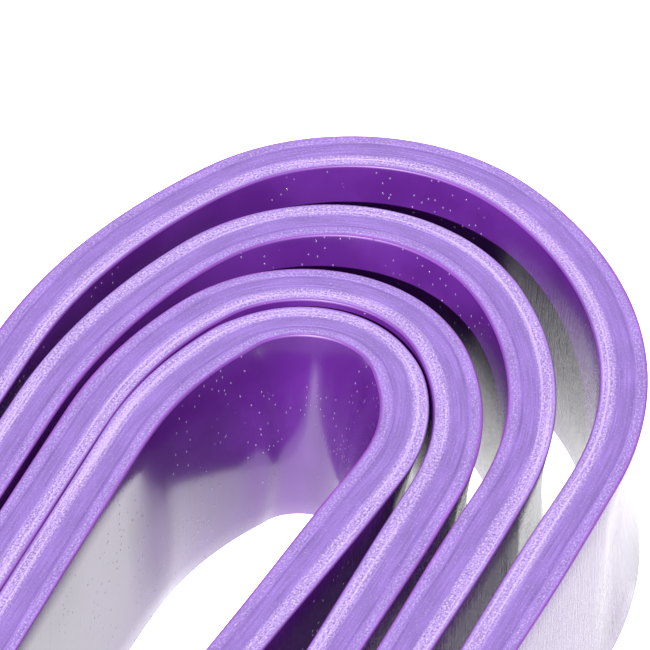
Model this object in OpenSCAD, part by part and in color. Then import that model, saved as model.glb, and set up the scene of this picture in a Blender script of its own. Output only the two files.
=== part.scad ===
// Loop resistance band: one endless laminated latex strap, doubled and folded twice, standing on its
// cut edge. Millimetres, +Z up, origin at the middle of the outline on the surface that it stands on.
// The strap is nine plies of latex sheet, bonded face to face, and each ply is its own closed solid.

/* [Band] */
// Width of the strap, which is its height as it stands on edge
band_w = 22; // [15:0.5:32]
// Thickness of the whole laminate
band_t = 4.5; // [2.7:0.1:4.5]

/* [Folds] */
// How far the near folds lie from the middle of the far ones
fold_reach = 227; // [170:1:260]
// Angle between neighbouring points along a bend
arc_step = 6; // [4:1:12]

/* [Hidden] */
NODES = ["ply_1_inner_face", "ply_2", "ply_3", "ply_4", "ply_5_core",
         "ply_6", "ply_7", "ply_8", "ply_9_outer_face"];

ply_count = len(NODES);
ply_t = band_t / ply_count;
face_tint = "mediumpurple";
core_tint = "plum";

// A far fold is a crown with a wider shoulder on each side, so it is [x, y, crown radius,
// right shoulder radius, angle where it joins, left shoulder radius, angle where it joins].
crown_1 = [0.75, 4.75, 21.75, 37, 65, 58, 148];
crown_2 = [1.25, -2.25, 18, 34, 46, 60, 154];
crown_3 = [0.75, -8.25, 14, 26, 42, 41, 153];
crown_4 = [1, -9, 9.5, 18, 39, 36, 152];

// A bend is [x, y, radius, side], and its side is 1 where the strap turns left and -1 where it turns
// right. The near folds are a pair of nested bends on the left and two hairpins on the right, and the
// innermost right-hand run hangs a little slack into the middle. The radius of a tight fold is to the
// middle of the thickness, and a tighter one would let the strap's outer face cross itself.
hairpin_r = 7.5;
layer_pitch = 5;
nest_x = -14.5;
nest_y = -fold_reach;
sweep = [13, nest_y + 30, 25];
upper_pin = [23, nest_y + 20];
lower_pin = [10.5, nest_y - 5.5];
slack_bend = [67, -60, 60];
wrap_r = 13;
upper_sweep = [50.5, upper_pin[1] + 26, 28];

function polar(angle) = [cos(angle), sin(angle)];
function left_of(heading) = [-sin(heading), cos(heading)];

function shoulder(crown, radius, angle) =
    let (centre = [crown[0], crown[1]] - (radius - crown[2]) * polar(angle))
    [centre[0], centre[1], radius];

function crown_bends(crown) = [
    shoulder(crown, crown[3], crown[4]),
    [crown[0], crown[1], crown[2]],
    shoulder(crown, crown[5], crown[6])
];

function turning(bends, side) = [for (bend = bends) [bend[0], bend[1], bend[2], side]];
function right_to_left(crown) = turning(crown_bends(crown), 1);
function left_to_right(crown) =
    let (bends = crown_bends(crown))
    turning([bends[2], bends[1], bends[0]], -1);

// Every bend in the order that the strap runs through them, back to the first
bends = concat(
    right_to_left(crown_1),
    [[nest_x, nest_y, hairpin_r + layer_pitch, 1],
     [sweep[0], sweep[1], sweep[2], -1]],
    left_to_right(crown_4),
    [[slack_bend[0], slack_bend[1], slack_bend[2], 1],
     [lower_pin[0], lower_pin[1], hairpin_r, 1],
     [upper_pin[0], upper_pin[1], wrap_r, -1]],
    right_to_left(crown_3),
    [[sweep[0], sweep[1], sweep[2] + layer_pitch, 1],
     [nest_x, nest_y, hairpin_r, -1]],
    left_to_right(crown_2),
    [[upper_pin[0], upper_pin[1], hairpin_r, 1],
     [upper_sweep[0], upper_sweep[1], upper_sweep[2], -1]]
);
bend_count = len(bends);
same_point = 0.01;

function wrapped(angle) = angle - 360 * floor(angle / 360);
function clamped(value) = max(-1, min(1, value));

// Direction of the straight run that leaves bend a and is tangent to bend b
function run_heading(a, b) =
    let (step = [b[0] - a[0], b[1] - a[1]], shift = b[3] * b[2] - a[3] * a[2])
    atan2(step[1], step[0]) - asin(clamped(shift / norm(step)));

headings = [for (i = [0 : bend_count - 1]) run_heading(bends[i], bends[(i + 1) % bend_count])];

// Points round bend i, on the line that lies offset to the left of the middle of the strap
function bend_points(i, offset) =
    let (
        bend = bends[i],
        side = bend[3],
        start = headings[(i + bend_count - 1) % bend_count],
        turn = wrapped(side * (headings[i] - start)),
        steps = max(1, ceil(turn / arc_step))
    )
    [for (k = [0 : steps])
        [bend[0], bend[1]] + (offset - side * bend[2]) * left_of(start + side * turn * k / steps)];

// A closed line along the whole strap. Where a crown meets its shoulder the two share one point.
function strap_line(offset) =
    let (
        points = [for (i = [0 : bend_count - 1]) each bend_points(i, offset)],
        count = len(points)
    )
    [for (i = [0 : count - 1]) if (norm(points[(i + 1) % count] - points[i]) > same_point) points[i]];

// The middle of the outline, which becomes the origin
outline = strap_line(-band_t / 2);
outline_x = [for (p = outline) p[0]];
outline_y = [for (p = outline) p[1]];
middle = [(min(outline_x) + max(outline_x)) / 2, (min(outline_y) + max(outline_y)) / 2];

middle_line = strap_line(0);
point_count = len(middle_line);
run_lengths = [for (i = [0 : point_count - 1])
    norm(middle_line[(i + 1) % point_count] - middle_line[i])];
echo(loop_length = run_lengths * [for (i = run_lengths) 1]);

// One ply of the laminate, counted from 1 at the loop's inner face
module ply(number, tint) {
    inner_line = strap_line(band_t / 2 - (number - 1) * ply_t);
    outer_line = strap_line(band_t / 2 - number * ply_t);
    outer_count = len(outer_line);
    inner_count = len(inner_line);
    color(tint)
        translate([-middle[0], -middle[1], 0])
            linear_extrude(height = band_w)
                polygon(
                    points = concat(outer_line, inner_line),
                    paths = [
                        [for (i = [0 : outer_count - 1]) i],
                        [for (i = [0 : inner_count - 1]) outer_count + i]
                    ]
                );
}

module face_ply(number) { ply(number, face_tint); }
module core_ply(number) { ply(number, core_tint); }

face_ply(1);
for (k = [2 : ply_count - 1])
    core_ply(k);
face_ply(ply_count);
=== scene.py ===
import math

import bmesh
import bpy
import numpy as np
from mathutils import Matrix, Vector


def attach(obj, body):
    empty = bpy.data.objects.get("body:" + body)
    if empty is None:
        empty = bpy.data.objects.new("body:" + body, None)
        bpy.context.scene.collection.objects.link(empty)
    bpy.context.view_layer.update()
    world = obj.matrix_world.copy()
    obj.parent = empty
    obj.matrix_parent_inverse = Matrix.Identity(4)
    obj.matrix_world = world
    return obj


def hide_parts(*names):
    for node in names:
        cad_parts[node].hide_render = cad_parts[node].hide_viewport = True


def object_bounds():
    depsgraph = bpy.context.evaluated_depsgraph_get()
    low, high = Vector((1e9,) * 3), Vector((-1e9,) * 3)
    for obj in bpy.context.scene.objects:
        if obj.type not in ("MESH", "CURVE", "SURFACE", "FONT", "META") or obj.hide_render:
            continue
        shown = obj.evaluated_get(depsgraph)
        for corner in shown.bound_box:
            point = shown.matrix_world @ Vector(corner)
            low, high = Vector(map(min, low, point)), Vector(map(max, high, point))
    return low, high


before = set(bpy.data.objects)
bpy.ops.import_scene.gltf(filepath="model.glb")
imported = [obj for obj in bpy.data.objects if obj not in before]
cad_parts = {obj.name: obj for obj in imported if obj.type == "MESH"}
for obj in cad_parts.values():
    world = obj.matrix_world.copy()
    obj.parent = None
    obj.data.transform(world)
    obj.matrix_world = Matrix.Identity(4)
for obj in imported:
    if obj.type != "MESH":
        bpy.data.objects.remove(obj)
cad_low, cad_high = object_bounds()


# ---- Camera ----
# A long lens a little over half a metre off, aimed at the middle of the nested U-bends, turned 22
# degrees from the runs and looking down at 42 degrees.
view_turn = math.radians(22.0)
view_rise = math.radians(41.9)
view_distance = 0.5739
crown_setback = 0.02874
crown_sidestep = 0.00215
aim = Vector((-crown_sidestep, cad_high.y - crown_setback, cad_high.z))
view_back = Vector(
    (
        math.sin(view_turn) * math.cos(view_rise),
        -math.cos(view_turn) * math.cos(view_rise),
        math.sin(view_rise),
    )
)
camera_data = bpy.data.cameras.new("camera")
camera_data.sensor_width = 36.0
camera_data.lens = 332.3
camera_data.clip_start = 0.02
camera_data.clip_end = 20.0
camera = bpy.data.objects.new("camera", camera_data)
camera.location = aim + view_back * view_distance
camera.rotation_mode = "QUATERNION"
camera.rotation_quaternion = (-view_back).to_track_quat("-Z", "Y")
bpy.context.collection.objects.link(camera)
bpy.context.scene.camera = camera


# ---- Floor and studio light ----
# A plain white sheet that glows like a light table, so that it stays bright deep in the gaps, a
# weak even surround, and one key lamp to the left of the camera, low enough to shade the gaps.
floor_bm = bmesh.new()
bmesh.ops.create_grid(floor_bm, x_segments=2, y_segments=2, size=4.0)
floor_mesh = bpy.data.meshes.new("floor")
floor_bm.to_mesh(floor_mesh)
floor_bm.free()
floor = bpy.data.objects.new("floor", floor_mesh)
bpy.context.collection.objects.link(floor)
floor_sheet = bpy.data.materials.new("floor_sheet")
floor_sheet.use_nodes = True
floor_shader = floor_sheet.node_tree.nodes["Principled BSDF"]
floor_shader.inputs["Base Color"].default_value = (0.45, 0.45, 0.45, 1.0)
floor_shader.inputs["Roughness"].default_value = 0.6
floor_shader.inputs["Emission Color"].default_value = (1.0, 1.0, 1.0, 1.0)
floor_shader.inputs["Emission Strength"].default_value = 1.7
floor_mesh.materials.append(floor_sheet)

surround = bpy.data.worlds.new("surround")
surround.use_nodes = True
surround.node_tree.nodes["Background"].inputs["Color"].default_value = (1.0, 1.0, 1.0, 1.0)
surround.node_tree.nodes["Background"].inputs["Strength"].default_value = 0.6
bpy.context.scene.world = surround
bpy.context.scene.view_settings.view_transform = "Standard"

key_turn = view_turn - math.radians(19.0)
key_rise = math.radians(36.5)
key_data = bpy.data.lights.new("key_lamp", "SUN")
key_data.energy = 10.5
key_data.angle = math.radians(1.0)
key_lamp = bpy.data.objects.new("key_lamp", key_data)
key_back = Vector(
    (
        math.sin(key_turn) * math.cos(key_rise),
        -math.cos(key_turn) * math.cos(key_rise),
        math.sin(key_rise),
    )
)
key_lamp.location = aim + key_back
key_lamp.rotation_mode = "QUATERNION"
key_lamp.rotation_quaternion = (-key_back).to_track_quat("-Z", "Y")
bpy.context.collection.objects.link(key_lamp)


# ---- The strap's route ----
# The band is one endless strap, doubled and then folded twice, so eight runs lie side by side. The
# far folds are four nested U-bends, and the near folds are a nested pair and two hairpins.
strap_width = cad_high.z - cad_low.z
strap_thickness = 0.0045
millimetre = 0.001

# A far fold is a crown with a wider shoulder on each side: the crown's place and radius in mm, then
# the right shoulder's radius and the angle where it joins, and the left one's.
crowns = {
    1: (0.75, 4.75, 21.75, 37.0, 65.0, 58.0, 148.0),
    2: (1.25, -2.25, 18.0, 34.0, 46.0, 60.0, 154.0),
    3: (0.75, -8.25, 14.0, 26.0, 42.0, 41.0, 153.0),
    4: (1.0, -9.0, 9.5, 18.0, 39.0, 36.0, 152.0),
}
fold_reach = 227.0
hairpin_radius = 7.5
layer_pitch = 5.0
nest = (-14.5, -fold_reach)
sweep = (13.0, -fold_reach + 30.0, 25.0)
upper_pin = (23.0, -fold_reach + 20.0)
lower_pin = (10.5, -fold_reach - 5.5)
slack_bend = (67.0, -60.0, 60.0)
wrap_radius = 13.0
upper_sweep = (50.5, upper_pin[1] + 26.0, 28.0)


def crown_bends(number, side):
    """The three arcs of a far fold, from its right shoulder, or from its left on a right turn."""
    x, y, radius, right_radius, right_angle, left_radius, left_angle = crowns[number]
    arcs = [(x, y, radius, side)]
    for place, shoulder, angle in ((0, right_radius, right_angle), (2, left_radius, left_angle)):
        reach = shoulder - radius
        across = x - reach * math.cos(math.radians(angle))
        along = y - reach * math.sin(math.radians(angle))
        arcs.insert(place, (across, along, shoulder, side))
    return arcs[::side]


# Every bend in the order that the strap runs through them: its centre and radius, then 1 where the
# strap turns left and -1 where it turns right.
bends = (
    [(nest[0], nest[1], hairpin_radius + layer_pitch, 1), (*sweep, -1)]
    + crown_bends(4, -1)
    + [(*slack_bend, 1), (*lower_pin, hairpin_radius, 1), (*upper_pin, wrap_radius, -1)]
    + crown_bends(3, 1)
    + [(sweep[0], sweep[1], sweep[2] + layer_pitch, 1), (*nest, hairpin_radius, -1)]
    + crown_bends(2, -1)
    + [(*upper_pin, hairpin_radius, 1), (*upper_sweep, -1)]
    + crown_bends(1, 1)
)


def run_heading(a, b):
    """Direction of the straight run that leaves bend a and meets bend b."""
    step = (b[0] - a[0], b[1] - a[1])
    shift = b[3] * b[2] - a[3] * a[2]
    ratio = max(-1.0, min(1.0, shift / math.hypot(*step)))
    return math.atan2(step[1], step[0]) - math.asin(ratio)


def touch_point(bend, heading):
    """Where the strap's middle line touches a bend while it runs in a given direction."""
    out = -bend[3] * bend[2]
    return np.array([bend[0] - out * math.sin(heading), bend[1] + out * math.cos(heading)])


def strap_knots():
    """Length along the strap and direction at each end of each bend."""
    lengths, directions = [0.0], []
    count = len(bends)
    headings = [run_heading(bends[i], bends[(i + 1) % count]) for i in range(count)]
    direction = headings[-1]
    for i, bend in enumerate(bends):
        turn = (bend[3] * (headings[i] - headings[i - 1])) % (2.0 * math.pi)
        directions.append(direction)
        direction += bend[3] * turn
        directions.append(direction)
        lengths.append(lengths[-1] + turn * bend[2])
        leave = touch_point(bend, headings[i])
        meet = touch_point(bends[(i + 1) % count], headings[i])
        lengths.append(lengths[-1] + float(np.hypot(*(meet - leave))))
    directions.append(direction)
    return np.array(lengths), np.array(directions), touch_point(bends[0], headings[-1])


# The knots are eased into a line whose curvature changes gently, as in a real rubber strap.
knot_lengths, knot_directions, first_point = strap_knots()
loop_length = knot_lengths[-1]
fine_step = 0.25
ease_length = 1.3
fine_count = int(round(loop_length / fine_step))
fine_step = loop_length / fine_count
fine_lengths = (np.arange(fine_count) + 0.5) * fine_step
fine_directions = np.interp(fine_lengths, knot_lengths, knot_directions)
whole_turn = knot_directions[-1] - knot_directions[0]
margin = int(4 * ease_length / fine_step)
padded_directions = np.concatenate(
    [fine_directions[-margin:] - whole_turn, fine_directions, fine_directions[:margin] + whole_turn]
)
kernel = np.exp(-0.5 * (np.arange(-margin, margin + 1) * fine_step / ease_length) ** 2)
eased_directions = np.convolve(padded_directions, kernel / kernel.sum(), mode="valid")


def closed_line(directions):
    """Adds up the steps in each direction, and spreads what is missing evenly so that it closes."""
    steps = np.stack([np.cos(directions), np.sin(directions)], axis=1) * fine_step
    steps -= steps.mean(axis=0)
    return np.vstack([[0.0, 0.0], np.cumsum(steps, axis=0)])


middle_line = closed_line(eased_directions)
drawn_line = closed_line(fine_directions) + first_point
middle_line += drawn_line.mean(axis=0) - middle_line.mean(axis=0)

# Stations lie close together round the bends and further apart along the runs. The densities are
# in stations per mm.
run_density, bend_density, bend_density_limit = 0.35, 14.0, 1.1
edge_directions = 0.5 * (
    np.concatenate([eased_directions[-1:] - whole_turn, eased_directions])
    + np.concatenate([eased_directions, eased_directions[:1] + whole_turn])
)
curvature = np.gradient(edge_directions, fine_step)
density = run_density + np.minimum(bend_density * np.abs(curvature), bend_density_limit)
station_rank = np.concatenate([[0.0], np.cumsum(fine_step * density[1:])])
station_count = int(station_rank[-1])
station_ranks = np.linspace(0.0, station_rank[-1], station_count, endpoint=False)
all_lengths = np.arange(fine_count + 1) * fine_step
station_length = np.interp(station_ranks, station_rank, all_lengths)
station_x = np.interp(station_length, all_lengths, middle_line[:, 0])
station_y = np.interp(station_length, all_lengths, middle_line[:, 1])
station_heading = np.interp(station_length, all_lengths, edge_directions)
station_bend = np.interp(station_length, all_lengths, curvature)


def hump(values, centre, width):
    """Rises smoothly to 1 at the centre, and is nearly gone two widths away."""
    return np.exp(-(((values - centre) / width) ** 2))


# A bent rubber strip curls across its width: the middle of its width bulges towards the bend's
# centre, while its two edges keep the route.
curl_limit = 2.0
curl_radius = 22.0
curl = curl_limit * np.tanh(curl_radius * station_bend)
outward_x, outward_y = np.sin(station_heading), -np.cos(station_heading)

# It is a little thinner where it is bent hard, and fuller on gentle bends.
gentle_growth, gentle_bend = 0.07, 0.045
hard_squeeze, squeeze_limit = 15.0, 0.17
gentle = np.tanh((station_bend / gentle_bend) ** 2)
squeeze = np.minimum(hard_squeeze * station_bend**2, squeeze_limit)
fullness = 1.0 + gentle_growth * gentle - squeeze

# It is fuller at the start of the right-hand runs too, and a hair thinner where the left limbs of
# the two innermost layers press on each other.
swell, swell_y, swell_length = 0.11, -24.0, 11.0
right_x, right_blur = 4.0, 1.5
right_run = 1.0 / (1.0 + np.exp(-(station_x - right_x) / right_blur))
fullness += swell * right_run * hump(station_y, swell_y, swell_length)
press, press_x, press_y, press_width, press_length = 0.035, -13.9, -26.8, 4.0, 18.0
fullness -= press * hump(station_x, press_x, press_width) * hump(station_y, press_y, press_length)

# Its top edge wanders up and down by a few hundredths, in waves of two lengths.
long_wander, long_waves = 0.035, 37.0
short_wander, short_waves, short_shift = 0.025, 83.0, 1.3
way_round = station_length / loop_length * 2.0 * math.pi
edge_wander = long_wander * np.sin(long_waves * way_round)
edge_wander += short_wander * np.sin(short_waves * way_round + short_shift)

# The innermost far fold leans back: its lower edge stands a little inside its upper one.
lean_limit, lean_length = 1.9, 26.0
inner_x, inner_y, inner_radius = crowns[4][:3]
on_crown = np.hypot(station_x - inner_x, station_y - inner_y) < inner_radius + 1.0
crown_station = np.argmax(np.where(on_crown, station_y, station_y.min()))
lean_back = lean_limit * hump(station_length, station_length[crown_station], lean_length)

route_middle_x = 0.5 * (middle_line[:, 0].max() + middle_line[:, 0].min())
route_middle_y = 0.5 * (middle_line[:, 1].max() + middle_line[:, 1].min())
full_depth = strap_thickness / millimetre
full_height = strap_width / millimetre


def section_place(depth, height):
    """Every station's place in metres, for a point of the section given in mm.

    The depth counts from the loop's inner face, and the height from the lower edge.
    """
    level = height / full_height
    lean = (depth - 0.5 * full_depth) * fullness - curl * (1.0 - (2.0 * level - 1.0) ** 2)
    lean += lean_back * (1.0 - level)
    x = station_x + lean * outward_x - route_middle_x
    y = station_y + lean * outward_y - route_middle_y
    z = height + edge_wander * level**4
    return np.stack([x, y, z], axis=1) * millimetre


# ---- Cut latex ----
# The strap is trimmed to width with a blade, so both edges show the laminate: satin, paler than the
# skins, with lengthwise fibres, a chalky grain near the loop's inner face and a few bright specks.
def tree_of(material):
    """Turns a material's nodes on and gives its tree and its shader."""
    material.use_nodes = True
    return material.node_tree, material.node_tree.nodes["Principled BSDF"]


def feed(tree, socket, value):
    """Sets a socket to a number, or wires another node's output to it."""
    if isinstance(value, bpy.types.NodeSocket):
        tree.links.new(value, socket)
    else:
        socket.default_value = value


def maths(tree, operation, first, second=0.0, third=0.0):
    node = tree.nodes.new("ShaderNodeMath")
    node.operation = operation
    for socket, value in zip(node.inputs, (first, second, third)):
        feed(tree, socket, value)
    return node.outputs[0]


def ranged(tree, value, low, high, to_low=0.0, to_high=1.0):
    """A smooth step from to_low to to_high while the value goes from low to high."""
    node = tree.nodes.new("ShaderNodeMapRange")
    node.interpolation_type = "SMOOTHSTEP"
    for socket, number in zip(node.inputs, (value, low, high, to_low, to_high)):
        feed(tree, socket, number)
    return node.outputs[0]


def strap_plane(tree, along_scale, across_scale, shift=0.0):
    """The strap's own plane, in mm along it and across it, stretched for a pattern."""
    place = tree.nodes.new("ShaderNodeUVMap")
    place.uv_map = "strap"
    stretch = tree.nodes.new("ShaderNodeMapping")
    stretch.inputs["Scale"].default_value = (along_scale, across_scale, 1.0)
    stretch.inputs["Location"].default_value = (shift, shift, 0.0)
    tree.links.new(place.outputs[0], stretch.inputs[0])
    return stretch.outputs[0]


def noise(tree, plane, detail, rough=0.5):
    node = tree.nodes.new("ShaderNodeTexNoise")
    node.noise_dimensions = "2D"
    feed(tree, node.inputs["Vector"], plane)
    node.inputs["Scale"].default_value = 1.0
    node.inputs["Detail"].default_value = detail
    node.inputs["Roughness"].default_value = rough
    return node.outputs[0]


def specks(tree, plane, radius, share):
    """Round specks: each cell of the plane may hold one, and only a share of the cells does."""
    cells = tree.nodes.new("ShaderNodeTexVoronoi")
    cells.voronoi_dimensions = "2D"
    feed(tree, cells.inputs["Vector"], plane)
    cells.inputs["Scale"].default_value = 1.0
    chosen = tree.nodes.new("ShaderNodeSeparateColor")
    tree.links.new(cells.outputs["Color"], chosen.inputs[0])
    present = maths(tree, "LESS_THAN", chosen.outputs[0], share)
    dot = ranged(tree, cells.outputs["Distance"], radius, 0.4 * radius)
    return maths(tree, "MULTIPLY", dot, present)


def blend_colour(tree, share, first, second, mode="MIX"):
    node = tree.nodes.new("ShaderNodeMix")
    node.data_type = "RGBA"
    node.blend_type = mode
    feed(tree, node.inputs[0], share)
    feed(tree, node.inputs[6], first)
    feed(tree, node.inputs[7], second)
    return node.outputs[2]


def bump(tree, height, distance, under=None):
    """A bump of so many metres, on top of another one where there is one."""
    node = tree.nodes.new("ShaderNodeBump")
    node.inputs["Strength"].default_value = 1.0
    node.inputs["Distance"].default_value = distance
    tree.links.new(height, node.inputs["Height"])
    if under is not None:
        tree.links.new(under, node.inputs["Normal"])
    return node.outputs[0]


def cut_latex():
    material = bpy.data.materials.new("cut_latex")
    tree, shader = tree_of(material)
    split = tree.nodes.new("ShaderNodeSeparateXYZ")
    tree.links.new(strap_plane(tree, 1.0, 1.0), split.inputs[0])
    sway = maths(tree, "SUBTRACT", noise(tree, strap_plane(tree, 0.035, 0.0, 3.0), detail=3.0), 0.5)
    depth = maths(tree, "MULTIPLY_ADD", sway, 0.5, split.outputs[1])

    # Tone across the laminate, from the loop's inner face to its outer one
    tone = tree.nodes.new("ShaderNodeValToRGB")
    tree.links.new(maths(tree, "DIVIDE", depth, full_depth), tone.inputs[0])
    chalk = (0.232, 0.152, 0.368, 1.0)
    middle = (0.152, 0.089, 0.285, 1.0)
    seam = (0.124, 0.068, 0.245, 1.0)
    outer = (0.178, 0.108, 0.320, 1.0)
    rim = (0.165, 0.050, 0.290, 1.0)
    stops = (
        (0.01, rim),
        (0.04, outer),
        (0.11, chalk),
        (0.28, chalk),
        (0.37, middle),
        (0.66, middle),
        (0.71, seam),
        (0.76, outer),
        (0.93, outer),
        (0.97, rim),
    )
    while len(tone.color_ramp.elements) < len(stops):
        tone.color_ramp.elements.new(0.5)
    for element, (place, colour) in zip(tone.color_ramp.elements, stops):
        element.position = place
        element.color = colour

    # Fibres that the blade drew along the edge, and broad cloudy patches
    fibre_relief, grain_relief = 0.00004, 0.00003
    fibres = noise(tree, strap_plane(tree, 0.16, 9.0), detail=4.0, rough=0.6)
    clouds = noise(tree, strap_plane(tree, 0.22, 0.9, 7.0), detail=3.0)
    fibre_shade = ranged(tree, fibres, 0.25, 0.75, 0.84, 1.17)
    cloud_shade = ranged(tree, clouds, 0.25, 0.75, 0.92, 1.08)
    shade = maths(tree, "MULTIPLY", fibre_shade, cloud_shade)
    grey = tree.nodes.new("ShaderNodeCombineColor")
    for socket in grey.inputs:
        tree.links.new(shade, socket)
    colour = blend_colour(tree, 1.0, tone.outputs[0], grey.outputs[0], "MULTIPLY")

    # Chalky grain beside the inner face, with fine drawn lines in it, and scattered specks
    crumb_share, pit_share, drawn_share, fleck_share = 0.62, 0.85, 0.45, 0.4
    outer_share, everywhere = 0.5, 0.13
    crumb = (0.50, 0.42, 0.60, 1.0)
    pit = (0.085, 0.048, 0.165, 1.0)
    drawn = (0.40, 0.31, 0.54, 1.0)
    fleck = (0.42, 0.36, 0.46, 1.0)
    grain = noise(tree, strap_plane(tree, 4.0, 5.0, 11.0), detail=3.0, rough=0.8)
    inner_rise, inner_fall = ranged(tree, depth, 0.1, 0.45), ranged(tree, depth, 1.8, 1.2)
    outer_rise, outer_fall = ranged(tree, depth, 3.3, 3.6), ranged(tree, depth, 4.35, 4.1)
    inner_band = maths(tree, "MULTIPLY", inner_rise, inner_fall)
    outer_band = maths(tree, "MULTIPLY", outer_rise, outer_fall)
    where = maths(tree, "MULTIPLY_ADD", outer_band, outer_share, inner_band)
    where = maths(tree, "ADD", where, everywhere)
    sparkle = maths(tree, "MULTIPLY", ranged(tree, grain, 0.54, 0.66), where)
    pits = maths(tree, "MULTIPLY", ranged(tree, grain, 0.45, 0.34), where)
    colour = blend_colour(tree, maths(tree, "MULTIPLY", sparkle, crumb_share), colour, crumb)
    colour = blend_colour(tree, maths(tree, "MULTIPLY", pits, pit_share), colour, pit)
    lines = noise(tree, strap_plane(tree, 0.03, 3.3, 19.0), detail=1.0)
    lined = maths(tree, "MULTIPLY", ranged(tree, lines, 0.56, 0.62), inner_band)
    colour = blend_colour(tree, maths(tree, "MULTIPLY", lined, drawn_share), colour, drawn)
    dust = specks(tree, strap_plane(tree, 2.3, 2.3, 5.0), radius=0.16, share=0.12)
    colour = blend_colour(tree, maths(tree, "MULTIPLY", dust, fleck_share), colour, fleck)
    tree.links.new(colour, shader.inputs["Base Color"])

    tree.links.new(ranged(tree, grain, 0.3, 0.7, 0.62, 0.42), shader.inputs["Roughness"])
    shader.inputs["Specular IOR Level"].default_value = 0.3
    relief = bump(tree, fibres, fibre_relief)
    tree.links.new(bump(tree, grain, grain_relief, relief), shader.inputs["Normal"])
    return material


# ---- Moulded skin ----
# The two broad faces are latex films dried on a polished former: glossy deep violet, with fine hair
# lines across the width and clusters of pimples. The pimple tips are painted paler as glints, and a
# thin band along both long edges is painted brighter violet, a painted highlight on the arris.
def skin_latex():
    material = bpy.data.materials.new("skin_latex")
    tree, shader = tree_of(material)
    split = tree.nodes.new("ShaderNodeSeparateXYZ")
    tree.links.new(strap_plane(tree, 1.0, 1.0), split.inputs[0])
    height = split.outputs[1]
    hairs = noise(tree, strap_plane(tree, 3.4, 0.22), detail=5.0, rough=0.65)
    mottle = noise(tree, strap_plane(tree, 0.11, 0.13, 2.0), detail=3.0)
    deep = (0.041, 0.0060, 0.090, 1.0)
    lively = (0.053, 0.0095, 0.114, 1.0)
    # The pale colour on the pimple tips is a painted glint, as if each tip caught the light.
    pimple_painted_glint = (0.30, 0.20, 0.42, 1.0)
    glint_share = 0.5
    # The brighter violet along the long edges is a painted highlight on the arris.
    arris_painted_highlight = (0.105, 0.026, 0.190, 1.0)
    colour = blend_colour(tree, ranged(tree, mottle, 0.3, 0.7), deep, lively)
    cluster = noise(tree, strap_plane(tree, 0.12, 0.12, 13.0), detail=1.0)
    pimples = specks(tree, strap_plane(tree, 1.1, 1.1, 4.0), radius=0.14, share=0.35)
    pimples = maths(tree, "MULTIPLY", pimples, ranged(tree, cluster, 0.46, 0.58))
    # Painted glint: the pimple tips are painted pale violet; their relief is a real bump further
    # down.
    colour = blend_colour(tree, maths(tree, "MULTIPLY", pimples, glint_share), colour, pimple_painted_glint)

    # Painted highlight: within a quarter millimetre of each long edge the skin is painted brighter
    # violet, as if the arris caught the light. The same band is also made rougher.
    edge_gap = maths(tree, "MINIMUM", maths(tree, "SUBTRACT", full_height, height), height)
    arris_band = ranged(tree, edge_gap, 0.26, 0.10)
    colour = blend_colour(tree, arris_band, colour, arris_painted_highlight)
    tree.links.new(colour, shader.inputs["Base Color"])

    patches = noise(tree, strap_plane(tree, 0.05, 0.07, 9.0), detail=2.0)
    hair_gloss = ranged(tree, hairs, 0.35, 0.75, 0.15, 0.18)
    gloss = maths(tree, "ADD", hair_gloss, ranged(tree, patches, 0.4, 0.7, 0.0, 0.06))
    arris_roughness = 0.3
    gloss = maths(tree, "MULTIPLY_ADD", arris_band, arris_roughness, gloss)
    tree.links.new(gloss, shader.inputs["Roughness"])
    shader.inputs["IOR"].default_value = 1.55

    # The lines are fine everywhere and deep where the right-hand bends rubbed
    spot = tree.nodes.new("ShaderNodeTexCoord")
    side = tree.nodes.new("ShaderNodeSeparateXYZ")
    tree.links.new(spot.outputs["Object"], side.inputs[0])
    faint, strong = 0.25, 3.0
    rub_start, rub_full = 0.008, 0.014
    hair_relief, pimple_relief = 0.00002, 0.00006
    rubbed = ranged(tree, side.outputs[0], rub_start, rub_full, faint, strong)
    drag = bump(tree, maths(tree, "MULTIPLY", hairs, rubbed), hair_relief)
    tree.links.new(bump(tree, pimples, pimple_relief, drag), shader.inputs["Normal"])
    return material


cut_edge = cut_latex()
skin = skin_latex()


# ---- Plies ----
# Nine plies of latex sheet, each half a millimetre thick, laid face to face and bonded. Each is an
# endless strip, and the cut through all of them is the strap's edge.
ply_names = [
    "ply_1_inner_face",
    "ply_2",
    "ply_3",
    "ply_4",
    "ply_5_core",
    "ply_6",
    "ply_7",
    "ply_8",
    "ply_9_outer_face",
]
ply_count = len(ply_names)
ply_thickness = full_depth / ply_count
wall_levels = 10
arris_steps = 3
skin_arris = 0.11
core_arris = 0.012
trim = 0.012
trim_turn = 2.4
nowhere = (-1.0, -1.0)
rounding = 0.0001


def ply_outline(near, far, near_round, far_round, top):
    """Once round a ply's section as (depth, height): up the near face and down the far one."""
    outline = []
    for depth, radius, inward in ((near, near_round, 1.0), (far, far_round, -1.0)):
        side = [(depth, height) for height in np.linspace(radius, top - radius, wall_levels)]
        angles = [math.pi / 2.0 * step / arris_steps for step in range(1, arris_steps + 1)]
        corner = [(radius * (1.0 - math.cos(angle)), radius * math.sin(angle)) for angle in angles]
        upper = [(depth + inward * inset, top - radius + rise) for inset, rise in corner]
        lower = [(depth + inward * inset, radius - rise) for inset, rise in corner]
        side = lower[::-1] + side + upper
        outline += side if inward > 0.0 else side[::-1]
    return outline


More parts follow.
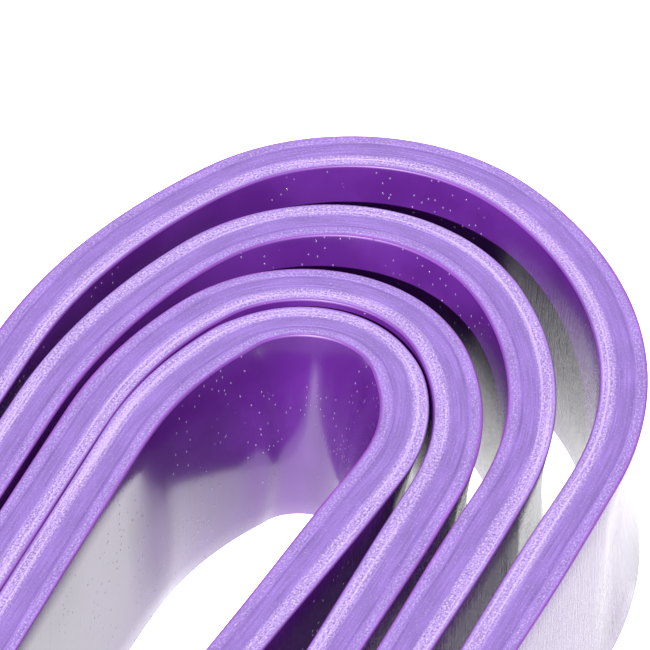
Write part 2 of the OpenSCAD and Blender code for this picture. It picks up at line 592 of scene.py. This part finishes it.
def ply_mesh(name, outline, skin_depths):
    """Draws the strap's route as a ring, pulls it round the ply's section and maps the strip."""
    bm = bmesh.new()
    station_of = bm.verts.layers.int.new("station")
    ring_of = bm.verts.layers.int.new("ring")
    bmesh.ops.create_circle(bm, segments=station_count, radius=1.0)
    for index, vert in enumerate(bm.verts):
        vert[station_of] = index
    first_ring = list(bm.edges)
    ring = first_ring
    for number in range(1, len(outline)):
        made = bmesh.ops.extrude_edge_only(bm, edges=ring)["geom"]
        fresh = {part for part in made if isinstance(part, bmesh.types.BMVert)}
        for vert in fresh:
            vert[ring_of] = number
        lines = [part for part in made if isinstance(part, bmesh.types.BMEdge)]
        ring = [line for line in lines if fresh.issuperset(line.verts)]
    bmesh.ops.bridge_loops(bm, edges=first_ring + ring)
    places = [section_place(depth, height) for depth, height in outline]
    for vert in bm.verts:
        vert.co = places[vert[ring_of]][vert[station_of]]
    bmesh.ops.recalc_face_normals(bm, faces=bm.faces)
    stations = np.array([vert[station_of] for vert in bm.verts])
    rings = np.array([vert[ring_of] for vert in bm.verts])
    mesh = bpy.data.meshes.new(name)
    bm.to_mesh(mesh)
    bm.free()

    # Every face is a quad, so its corners come in fours: two stations and two rings
    corners = np.empty(len(mesh.loops), dtype=np.int32)
    mesh.loops.foreach_get("vertex_index", corners)
    corner_station = stations[corners].reshape(-1, 4)
    corner_ring = rings[corners].reshape(-1, 4)
    closing = corner_station.max(axis=1) - corner_station.min(axis=1) > station_count // 2
    along = station_length[corner_station]
    along[closing[:, None] & (corner_station == 0)] = loop_length
    depths = np.array([depth for depth, _ in outline])[corner_ring]
    heights = np.array([height for _, height in outline])[corner_ring]
    on_skin = ((depths >= skin_depths[0]) & (depths <= skin_depths[1])).all(axis=1)
    across = np.where(on_skin[:, None], heights, depths)
    strip = mesh.uv_layers.new(name="strap")
    strip.data.foreach_set("uv", np.stack([along, across], axis=2).astype(np.float32).ravel())
    mesh.materials.append(cut_edge)
    mesh.materials.append(skin)
    mesh.polygons.foreach_set("material_index", on_skin.astype(np.int32))
    mesh.polygons.foreach_set("use_smooth", on_skin)
    return mesh


for number, node in enumerate(ply_names):
    inner_skin = number == 0
    outer_skin = number == ply_count - 1
    near = number * ply_thickness
    far = near + ply_thickness
    near_round = skin_arris if inner_skin else core_arris
    far_round = skin_arris if outer_skin else core_arris
    skin_depths = nowhere
    if inner_skin:
        skin_depths = (near, near + skin_arris + rounding)
    if outer_skin:
        skin_depths = (far - skin_arris - rounding, far + rounding)
    # The blade leaves each ply a hair higher or lower than the next
    top = full_height - trim * (1.0 + math.sin(trim_turn * number))
    outline = ply_outline(near, far, near_round, far_round, top)
    mesh = ply_mesh("band_" + node, outline, skin_depths)
    piece = bpy.data.objects.new("band_" + node, mesh)
    bpy.context.collection.objects.link(piece)
    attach(piece, "root")
    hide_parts(node)
